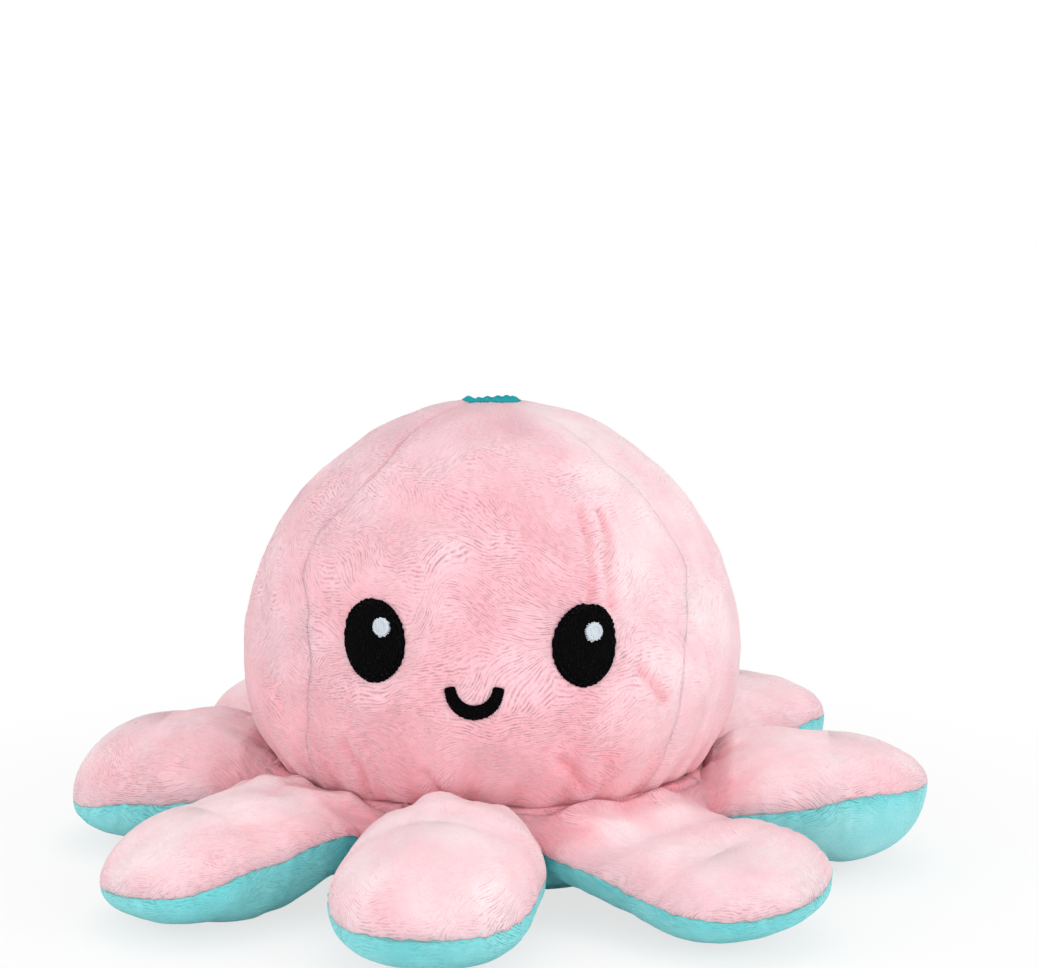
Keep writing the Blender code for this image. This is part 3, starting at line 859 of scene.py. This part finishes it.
def on_lining(azimuth, turn, lift=0.0):
    """Places on the lining at relative azimuths in degrees, lifted into the hollow by millimetres."""
    radius, height, out_side, out_up = profile(lining_sizes(), turn)
    facing = np.radians(azimuth) + head_sizes().turn
    place = around(radius, facing, height)
    low = smooth((26 - height / MM) / 20)
    folds = np.sin(np.radians(azimuth) * 22 + 2.0 * lumps(place, 0.012, 6.6))
    relief = 0.65 * lumps(place, 0.019, 4.4) + 0.30 * lumps(place, 0.0075, 2.2) + 0.45 * low * folds - 0.2
    stand = (relief + lift) * MM
    placed = around(radius - out_side * stand, facing, height - out_up * stand)
    # The second value is painted shade: more in the lower folds, a little everywhere.
    return placed, 0.35 * low * np.clip(-folds, 0, 1) + 0.15


def on_lining_face(x, y, high):
    lining = lining_sizes()
    turn = turn_at(lining, y)
    return on_lining(np.degrees(x / (profile(lining, turn)[0] / MM)), turn, high)[0]


def on_lining_crown(x, y, high):
    radius = np.hypot(x, y) * MM
    turn = np.arcsin(radius / lining_sizes().radius)
    return on_lining(np.degrees(np.arctan2(x, -y)), turn, high)[0]


def sew_lining(side):
    """One quarter of the lining, from its crown to the mouth."""
    lining = lining_sizes()
    piece = flat_pad(f"lining_skin_{side}", *LINING_FACES)
    across, along, level = points_of(piece).T
    start = asin(head_sizes().hole / lining.radius)
    turn = start + (lining.tuck - start) * along
    radius, height, out_side, out_up = profile(lining, turn)
    trim = np.degrees(LINING_TRIM / radius)
    first = 90 * SIDES.index(side) - 45
    wave = 1.5 * np.sin(height / 0.008)
    azimuth = first + wave + trim + (90 - 2 * trim) * across
    seen, hollow = on_lining(azimuth, turn)
    gap = np.radians(np.minimum(across, 1 - across) * 90) * radius / MM
    valley = np.exp(-((gap / 0.7) ** 2))
    facing = np.radians(azimuth) + head_sizes().turn
    sunk = valley * 0.4 * MM
    seen = seen + around(out_side, facing, out_up) * sunk[:, None]
    back = around(radius + out_side * lining.cloth, facing, height + out_up * lining.cloth)
    lay = (np.radians(azimuth) * lining.radius, turn * lining.radius)
    shape(piece, np.where(level[:, None] > 0.5, seen, back), lay)
    # Painted shade in the folds and along the seams; the paler colour is mixed in evenly.
    mark_tones(piece, hollow + 0.3 * valley, np.full(len(turn), 0.2))
    dress(piece, "teal pile", "teal_pile", f"lining_gore_{side}")
    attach(piece, "head")


class OCTOPUS_OT_lining(bpy.types.Operator):
    """Sews the lining and embroiders its own face"""

    bl_idname = "octopus.lining"
    bl_label = "Lining"

    def execute(self, context):
        for side in SIDES:
            sew_lining(side)
        for side, spot in LINING_EYES.items():
            name, brow = f"lining_embroidered_eye_{side}", LINING_BROWS[side]
            eye = oval(name, spot, LINING_EYE_SIZE, LINING_EYE_LIFT, on_lining_face, brow=brow)
            stitch(eye, "black thread", "black_thread", f"lining_eye_{side}")
            name, shine = f"lining_embroidered_glint_{side}", (spot[0] - 1.2, spot[1] + 0.8)
            glint = oval(name, shine, GLINT_SIZE, LINING_GLINT_LIFT, on_lining_face, GLINT_TEETH)
            stitch(glint, "white thread", "white_thread", f"lining_eye_glint_{side}")
        middle, height, radius = LINING_FROWN
        turns = np.linspace(radians(172), radians(8), 25)
        frown = [(middle + radius * cos(turn), height + 0.9 * radius * sin(turn)) for turn in turns]
        embroider_line("lining_embroidered_frown", frown, FROWN_STROKE, "lining_frown", on_lining_face)
        tack("lining_crown_stitches", LINING_TACK_SIZE, "lining_crown_tack", "pink_pile", "pink thread",
             on_lining_crown)
        return {"FINISHED"}


# The arms

# Two habits paint light and shade: arms 3 and 4 get more painted light on their undersides, and arm 7 loses
# part of the painted light on its top.
ARM_HABITS = {
    1: {"yaw": -2.0, "long": 0.955, "wide": 0.93, "crown": 0.3, "seam": 0.8, "slim": -0.5},
    2: {"yaw": 0.5, "roll": 9.0, "lift": 1.5, "crown": -11.0, "seam": 0.0, "wide": 0.94, "slim": 0.3},
    3: {"yaw": 0.5, "roll": -3.0, "lift": 0.5, "crown": 1.0, "seam": 9.4, "ramp": 44.0, "light": 0.65},
    4: {"yaw": 0.0, "roll": -2.0, "lift": 4.0, "crown": 0.5, "seam": 7.5, "ramp": 44.0, "light": 0.3},
    5: {"yaw": 2.0, "lift": 1.5, "wide": 0.98},
    6: {"yaw": 7.0, "lift": 2.0, "crown": 1.0, "long": 1.03},
    7: {"yaw": 0.0, "lift": 0.6, "crown": 1.8, "seam": 0.5, "blush": 0.35},
    8: {"yaw": 4.0, "roll": 6.0, "wide": 0.97, "crown": -4.5, "seam": -0.4, "root": 2.2, "sag": 3.2},
}
USUAL_HABITS = {"long": 1.0, "wide": 1.0, "ramp": 16.0}
CREASE_TURNS = {1: (-12, -4), 8: (9, 1)}
TOP_START, UNDER_START = -5.2, -21.3
TOP_FACES, UNDER_FACES = (30, 36, 3), (26, 44, 2)


def habit(number, key):
    return ARM_HABITS[number].get(key, USUAL_HABITS.get(key, 0.0))


def round_off(reach, start, end):
    share = np.clip((reach - start) / (end - start), 0, 1)
    return np.sqrt(1 - share**2.2)


def sector_half(reach):
    """Half the room between the creases beside an arm, in millimetres."""
    arm = arm_sizes()
    return np.maximum((arm.hinge / MM + reach) * tan(SECTOR / 2) + 0.30, 0)


def soft_least(a, b, ease):
    return 0.5 * (a + b - np.sqrt((a - b) ** 2 + ease**2))


def half_width(reach, number):
    """Half the arm's width in millimetres at a reach past its bend."""
    arm = arm_sizes()
    full = arm.half_width / MM
    narrow = 1 - (1 - habit(number, "wide")) * smooth((reach - 1) / 12)
    free = (full - 0.9 * (1 - smooth((reach + 4) / 14))) * narrow
    body = soft_least(free, sector_half(reach), 0.4)
    return body * round_off(reach, arm.length / MM - full, arm.length / MM)


def seam_height(reach, number):
    """Height of the seam in millimetres: high beside the creases, low at the tip."""
    arm = arm_sizes()
    fall = wander(reach, (-2, 4, 24, 46), (2.2, 1.8, -0.4, -3.6))
    own = habit(number, "seam") * smooth((reach - 4) / habit(number, "ramp"))
    own = own + habit(number, "root") * smooth((reach + 1) / 4) * (1 - smooth((reach - 8) / 16))
    return arm.seam / MM + fall + own + 0.3 * np.sin(reach / 4.0 + number * 1.7)


def head_underside(far):
    """Height of the head's underside at a distance from the middle, in millimetres."""
    head = head_sizes()
    share = np.clip(far / (head.radius / MM), 0, 1)
    return (head.middle - head.drop * np.sqrt(1 - share**2)) / MM


def arm_top_height(reach, number):
    crown = wander(reach, (-5.2, 0, 5, 14, 26, 48), (19.4, 24.9, 27.3, 28.0, 27.0, 25.5))
    crown = crown + habit(number, "crown") * smooth((reach + 4) / 14)
    return np.minimum(crown, head_underside(arm_sizes().hinge / MM + reach) - 0.45)


def place_arm(number, reach, side, up):
    """Turns an arm's own reach, side and height in millimetres into places, by the arm's own habits."""
    arm = arm_sizes()
    share = smooth(reach / 22)
    out = arm.hinge / MM + np.where(reach > 0, reach * habit(number, "long"), reach)
    middle = arm.seam / MM
    rolled = radians(habit(number, "roll")) * share
    side, up = (side * np.cos(rolled) - (up - middle) * np.sin(rolled),
                middle + side * np.sin(rolled) + (up - middle) * np.cos(rolled))
    up = np.maximum(up + habit(number, "lift") * smooth(reach / 35), 0)
    side = side + np.tan(radians(habit(number, "yaw"))) * reach * smooth(reach / 12)
    turn, far = np.arctan2(side, out), np.hypot(side, out)
    far = far + (out - far) * smooth((-4 - reach) / 9)
    right = np.clip(turn / SECTOR + 0.5, 0, 1)
    for crease, share in ((number, right), ((number + 6) % 8 + 1, 1 - right)):
        near, notch = CREASE_TURNS.get(crease, (0, 0))
        turn = turn + share * np.radians(wander(far, (48, 52, 57, 72), (near, near, notch, 0)))
    turn = turn + SECTOR * (number - 1)
    return around(far, turn, up) * MM


def seam_ruffle(side, reach, number):
    """How the pile ruffles the seam's line round an arm, in millimetres."""
    return 0.42 * lumps(beside(side, reach, number * 7.0), 1.5, 8.8)


def arm_lay(reach, side, fall):
    """The cloth's lay on an arm, along its seam and away from it, in metres."""
    arm = arm_sizes()
    round_tip = arm.half_width / MM
    past = reach - arm.length / MM + round_tip
    bent = round_tip * np.arctan2(np.abs(side), np.maximum(past, 1e-6))
    along = np.where(past > 0, bent, round_tip * pi / 2 - past)
    return along * MM, (np.hypot(np.maximum(past, 0), side) + fall) * MM


def superellipse(angle, power):
    """Shares across and up at an angle from one edge over the top to the other."""
    across, up = np.cos(angle), np.sin(angle)
    return np.sign(across) * np.abs(across) ** (2 / power), np.abs(up) ** (2 / power)


def sew_arm_top(number):
    """The pink top of one arm, from under the head to the seam round the arm."""
    arm = arm_sizes()
    piece = flat_pad(f"arm_{number}_top", *TOP_FACES)
    across, along, level = points_of(piece).T
    start, end = TOP_START, arm.length / MM
    reach = start + (end - start) * np.sin(along * pi / 2)
    angle = pi * (1 - across)
    thin = abs(habit(number, "slim"))
    beyond = across if habit(number, "slim") > 0 else 1 - across
    power = 1.95 + 0.3 * smooth(reach / 15) - thin * smooth((beyond - 0.4) / 0.3) * smooth((reach + 3) / 8)
    aside, high = superellipse(angle, power)
    width = half_width(reach, number)
    seam = seam_height(reach, number)
    top = arm_top_height(reach, number)
    hinge = arm.hinge / MM
    crease = wander(reach, (start, -2.5, 0), (23.2, 22.5, 19))
    crease = np.minimum(crease, head_underside(np.hypot(hinge + reach, width)) - 0.8)
    edge = crease + (seam - crease) * smooth((reach + 3.2) / 3.6)
    tip = round_off(reach, end - 24, end)
    rise = (top - edge) * tip
    outer_side = width * aside
    outer_up = edge + rise * high + seam_ruffle(width * np.sign(aside), reach, number) * (1 - high) ** 2
    place = beside(outer_side, reach, number * 31.0)
    down, inward = high * np.maximum(rise, 1e-3), width * (1 - np.abs(aside))
    near_edge = np.exp(-np.hypot(down, 0.6 * inward) / 3.0)
    pucker = 0.42 * np.sin(reach * 1.55 + 2.5 * lumps(place, 9.0, 3.3)) * (0.5 + 0.5 * lumps(place, 6.0, 9.3))
    root = 1 - smooth((reach + 2) / 19)
    folds = root * np.sin(aside * 8.5 + number * 2.1 + 1.8 * lumps(place, 8.0, 5.1)) * (1 - near_edge * 0.6)
    soft = 0.75 * lumps(place, 15.0, 1.3) + 0.35 * lumps(place, 6.5, 6.1)
    pile = 0.12 * lumps(beside(outer_side / 1.6, reach / 4.5, number * 3.0), 1.0, 0.0)
    relief = (soft * (1 - 0.6 * near_edge) + folds) * tip**0.5 + near_edge * pucker + pile
    outer_up = outer_up + relief * (0.25 + 0.75 * high)
    outer_side = outer_side + relief * aside * 0.45
    under_head = head_underside(np.hypot(hinge + reach, outer_side)) - 0.25
    outer_up = np.where(reach < 6, np.minimum(outer_up, under_head), outer_up)
    inner_side = width * aside * 0.93
    inner_up = edge + 0.15 + rise * high * 0.25
    outer = place_arm(number, reach, outer_side, outer_up)
    inner = place_arm(number, reach * 0.995, inner_side, inner_up)
    placed = np.where(level[:, None] > 0.5, outer, inner)
    # Painted shade near the head, along the edges at the root and in the root's folds.
    hollow = (0.40 * near_edge + 0.12) * (1 - smooth((reach + 1) / 9)) + 0.5 * (1 - smooth((reach + 4) / 4))
    hollow = hollow + 0.35 * root * np.clip(-folds, 0, 1)
    # Painted light: the top is painted paler away from its seam and the head, where light falls on it from
    # above.
    pale = (1.0 - 0.75 * np.exp(-np.hypot(down, inward) / 7)) * smooth((reach + 3) / 9)
    shape(piece, placed, arm_lay(reach, width * aside, (top - edge) * (1 - high * tip)))
    # Painted shade: one arm's habit takes back part of this painted light.
    mark_tones(piece, hollow, (1.0 - habit(number, "blush")) * pale)
    dress(piece, "pink pile", "pink_pile", f"arm_{number}_top_cover", f"arm_{number}_stuffing")
    if number == 1:
        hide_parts("skirt_top")
    hang(piece)


def hang(piece):
    """Bakes the cloth's place into its mesh."""
    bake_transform(piece)


def sew_arm_under(number):
    """The teal underside of one arm, from the mouth of the hollow to the seam round the arm."""
    arm = arm_sizes()
    piece = flat_pad(f"arm_{number}_under", *UNDER_FACES)
    across, along, level = points_of(piece).T
    start, end = UNDER_START, arm.length / MM
    reach = start + (end - start) * np.sin(along * pi / 2)
    angle = pi * (1 - across)
    aside, deep = superellipse(angle, 2.35)
    width = half_width(reach, number)
    seam = seam_height(reach, number)
    crease = wander(reach, (start, -16, -4), (3.4, 5.2, 7.6))
    edge = crease + (seam - crease) * smooth((reach + 3.2) / 3.6)
    bottom = wander(reach, (start, -18.6, -16, -8, 0, 5, 16, 30), (3.0, 0, 0, 3.8, 6.3, 5.6, 2.6, 0))
    tip = round_off(reach, end - 22.5, end)
    drop = (edge - bottom) * tip
    outer_side = width * aside
    outer_up = edge - drop * deep + seam_ruffle(width * np.sign(aside), reach, number) * (1 - deep) ** 2
    place = beside(outer_side, reach, number * 17.0)
    near_edge = np.exp(-(deep * np.maximum(drop, 1e-3)) / 3.0)
    pucker = near_edge * smooth((reach + 2) / 4) * 0.40 * np.sin(reach * 1.55 + 2.5 * lumps(place, 9.0, 3.3))
    soft = 0.45 * lumps(place, 12.0, 2.3) + 0.25 * lumps(place, 5.5, 6.6)
    free = smooth((outer_up - 0.2) / 3.5)
    relief = (soft + pucker) * free * tip**0.5
    sag = smooth(reach / 10) * smooth((32 - reach) / 12) * smooth((across - 0.35) / 0.3)
    outer_up = np.maximum(outer_up - relief * deep, 0.0) - habit(number, "sag") * deep * sag
    outer_side = outer_side + relief * aside * 0.5
    inner_side = width * aside * 0.93
    inner_up = edge - 0.15 - drop * deep * 0.25
    inner_up = np.maximum(inner_up, outer_up + np.where(reach < -4, 1.2, 0.0))
    outer = place_arm(number, reach, outer_side, outer_up)
    inner = place_arm(number, reach, inner_side, inner_up)
    placed = np.where(level[:, None] > 0.5, outer, inner)
    # Painted shade towards the mouth, most along the seam.
    hollow = (0.6 * near_edge + 0.4) * (1 - smooth((reach + 2) / 12))
    shape(piece, placed, arm_lay(reach, width * aside, (edge - bottom) * (1 - deep * tip)))
    # Painted light: the underside is painted paler away from its seam and out along the arm, more on arms
    # with a light habit.
    mark_tones(piece, hollow, (0.35 + habit(number, "light")) * (1 - near_edge) * smooth(reach / 10))
    dress(piece, "teal pile", "teal_pile", f"arm_{number}_under_cover")
    if number == 1:
        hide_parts("skirt_under")
    hang(piece)


class OCTOPUS_OT_arm_tops(bpy.types.Operator):
    """Sews the eight pink arm tops"""

    bl_idname = "octopus.arm_tops"
    bl_label = "Arm tops"

    def execute(self, context):
        for number in range(1, 9):
            sew_arm_top(number)
        return {"FINISHED"}


class OCTOPUS_OT_arm_unders(bpy.types.Operator):
    """Sews the eight teal arm undersides"""

    bl_idname = "octopus.arm_unders"
    bl_label = "Arm undersides"

    def execute(self, context):
        for number in range(1, 9):
            sew_arm_under(number)
        return {"FINISHED"}


# The studio

LAMPS = (
    ("left lamp", (-1.00, -0.60, 0.50), (0, 0, 0.05), 0.9, 2.6),
    ("top lamp", (0.10, 0.05, 1.20), (0, 0, 0.04), 0.8, 2.2),
    ("right lamp", (1.00, -0.40, 0.40), (0, 0, 0.05), 0.8, 4.0),
    ("front lamp", (-0.05, -1.28, 0.18), (0, 0, 0.04), 0.9, 5.3),
)
AIR_LIGHT = 0.77
LENS = 73.92
CAMERA_PLACE = (0.0660, -0.4811, 0.1449)
CAMERA_TURN = (radians(83.01), 0, radians(7.07))


class OCTOPUS_OT_stage(bpy.types.Operator):
    """Sets the floor, the soft lamps and the camera"""

    bl_idname = "octopus.stage"
    bl_label = "Studio"

    def execute(self, context):
        deselect_all()
        bpy.ops.mesh.primitive_circle_add(vertices=96, radius=3.0, fill_type="NGON", location=(0, 0, -0.0002))
        floor = bpy.context.object
        floor.name = "floor"
        bpy.ops.object.transform_apply(location=True)
        made = Nodes("pale floor")
        fill(made.shader, {"Base Color": (0.86, 0.86, 0.86, 1), "Roughness": 0.95, "Specular IOR Level": 0.0})
        glow = made.add("ShaderNodeEmission")
        mixed = made.add("ShaderNodeMixShader")
        far = made.add("ShaderNodeVectorMath", operation="LENGTH")
        made.link(made.place(), far.inputs[0])
        share = made.remap(far.outputs["Value"], 0.10, 0.20, 0.72, 1.0)
        camera_ray = made.add("ShaderNodeLightPath").outputs["Is Camera Ray"]
        made.link(made.calc(share, camera_ray, "MULTIPLY"), mixed.inputs["Fac"])
        made.link(made.shader.outputs[0], mixed.inputs[1])
        made.link(glow.outputs[0], mixed.inputs[2])
        made.link(mixed.outputs[0], made.tree.nodes["Material Output"].inputs["Surface"])
        floor.data.materials.append(made.material)

        world = bpy.data.worlds.new("studio air")
        context.scene.world = world
        world.use_nodes = True
        nodes, links = world.node_tree.nodes, world.node_tree.links
        air = nodes["Background"]
        fill(air, {"Color": (1, 1, 1, 1)})
        ray = nodes.new("ShaderNodeLightPath")
        strength = nodes.new("ShaderNodeMapRange")
        fill(strength, {"To Min": AIR_LIGHT, "To Max": 1.0})
        links.new(ray.outputs["Is Camera Ray"], strength.inputs["Value"])
        links.new(strength.outputs["Result"], air.inputs["Strength"])

        for name, place, aim, size, power in LAMPS:
            data = bpy.data.lights.new(name, "AREA")
            data.shape = "DISK"
            data.size = size
            data.energy = power
            lamp = bpy.data.objects.new(name, data)
            context.collection.objects.link(lamp)
            lamp.location = place
            toward = Vector([a - b for a, b in zip(aim, place)])
            lamp.rotation_euler = toward.to_track_quat("-Z", "Y").to_euler()

        data = bpy.data.cameras.new("camera")
        data.sensor_width = 36
        data.lens = LENS
        camera = bpy.data.objects.new("camera", data)
        context.collection.objects.link(camera)
        camera.location = CAMERA_PLACE
        camera.rotation_euler = CAMERA_TURN
        context.scene.camera = camera
        context.scene.view_settings.view_transform = "Standard"
        return {"FINISHED"}


class OCTOPUS_PT_panel(bpy.types.Panel):
    """Shows the octopus's steps and its sizes and colours"""

    bl_idname = "OCTOPUS_PT_panel"
    bl_label = "Plush Octopus"
    bl_space_type = "VIEW_3D"
    bl_region_type = "UI"
    bl_category = "Octopus"

    def draw(self, context):
        for step in STEPS:
            self.layout.operator(step.bl_idname)
        for group in GROUPS:
            values = getattr(context.scene, group)
            box = self.layout.box()
            for key in values.bl_rna.properties.keys():
                if key not in ("rna_type", "name"):
                    box.prop(values, key)


GROUPS = {
    "octopus_head": HeadSizes,
    "octopus_arm": ArmSizes,
    "octopus_lining": LiningSizes,
    "octopus_colours": ClothColours,
}
STEPS = (
    OCTOPUS_OT_head, OCTOPUS_OT_face, OCTOPUS_OT_stitches, OCTOPUS_OT_lining,
    OCTOPUS_OT_arm_tops, OCTOPUS_OT_arm_unders, OCTOPUS_OT_stage,
)


def register():
    for kind in (*GROUPS.values(), *STEPS, OCTOPUS_PT_panel):
        bpy.utils.register_class(kind)
    for key, kind in GROUPS.items():
        setattr(bpy.types.Scene, key, PointerProperty(type=kind))


def unregister():
    for key in GROUPS:
        delattr(bpy.types.Scene, key)
    for kind in reversed((*GROUPS.values(), *STEPS, OCTOPUS_PT_panel)):
        bpy.utils.unregister_class(kind)


def main():
    register()
    bpy.ops.octopus.head()
    bpy.ops.octopus.face()
    bpy.ops.octopus.stitches()
    bpy.ops.octopus.lining()
    bpy.ops.octopus.arm_tops()
    bpy.ops.octopus.arm_unders()
    bpy.ops.octopus.stage()


if __name__ == "__main__":
    main()
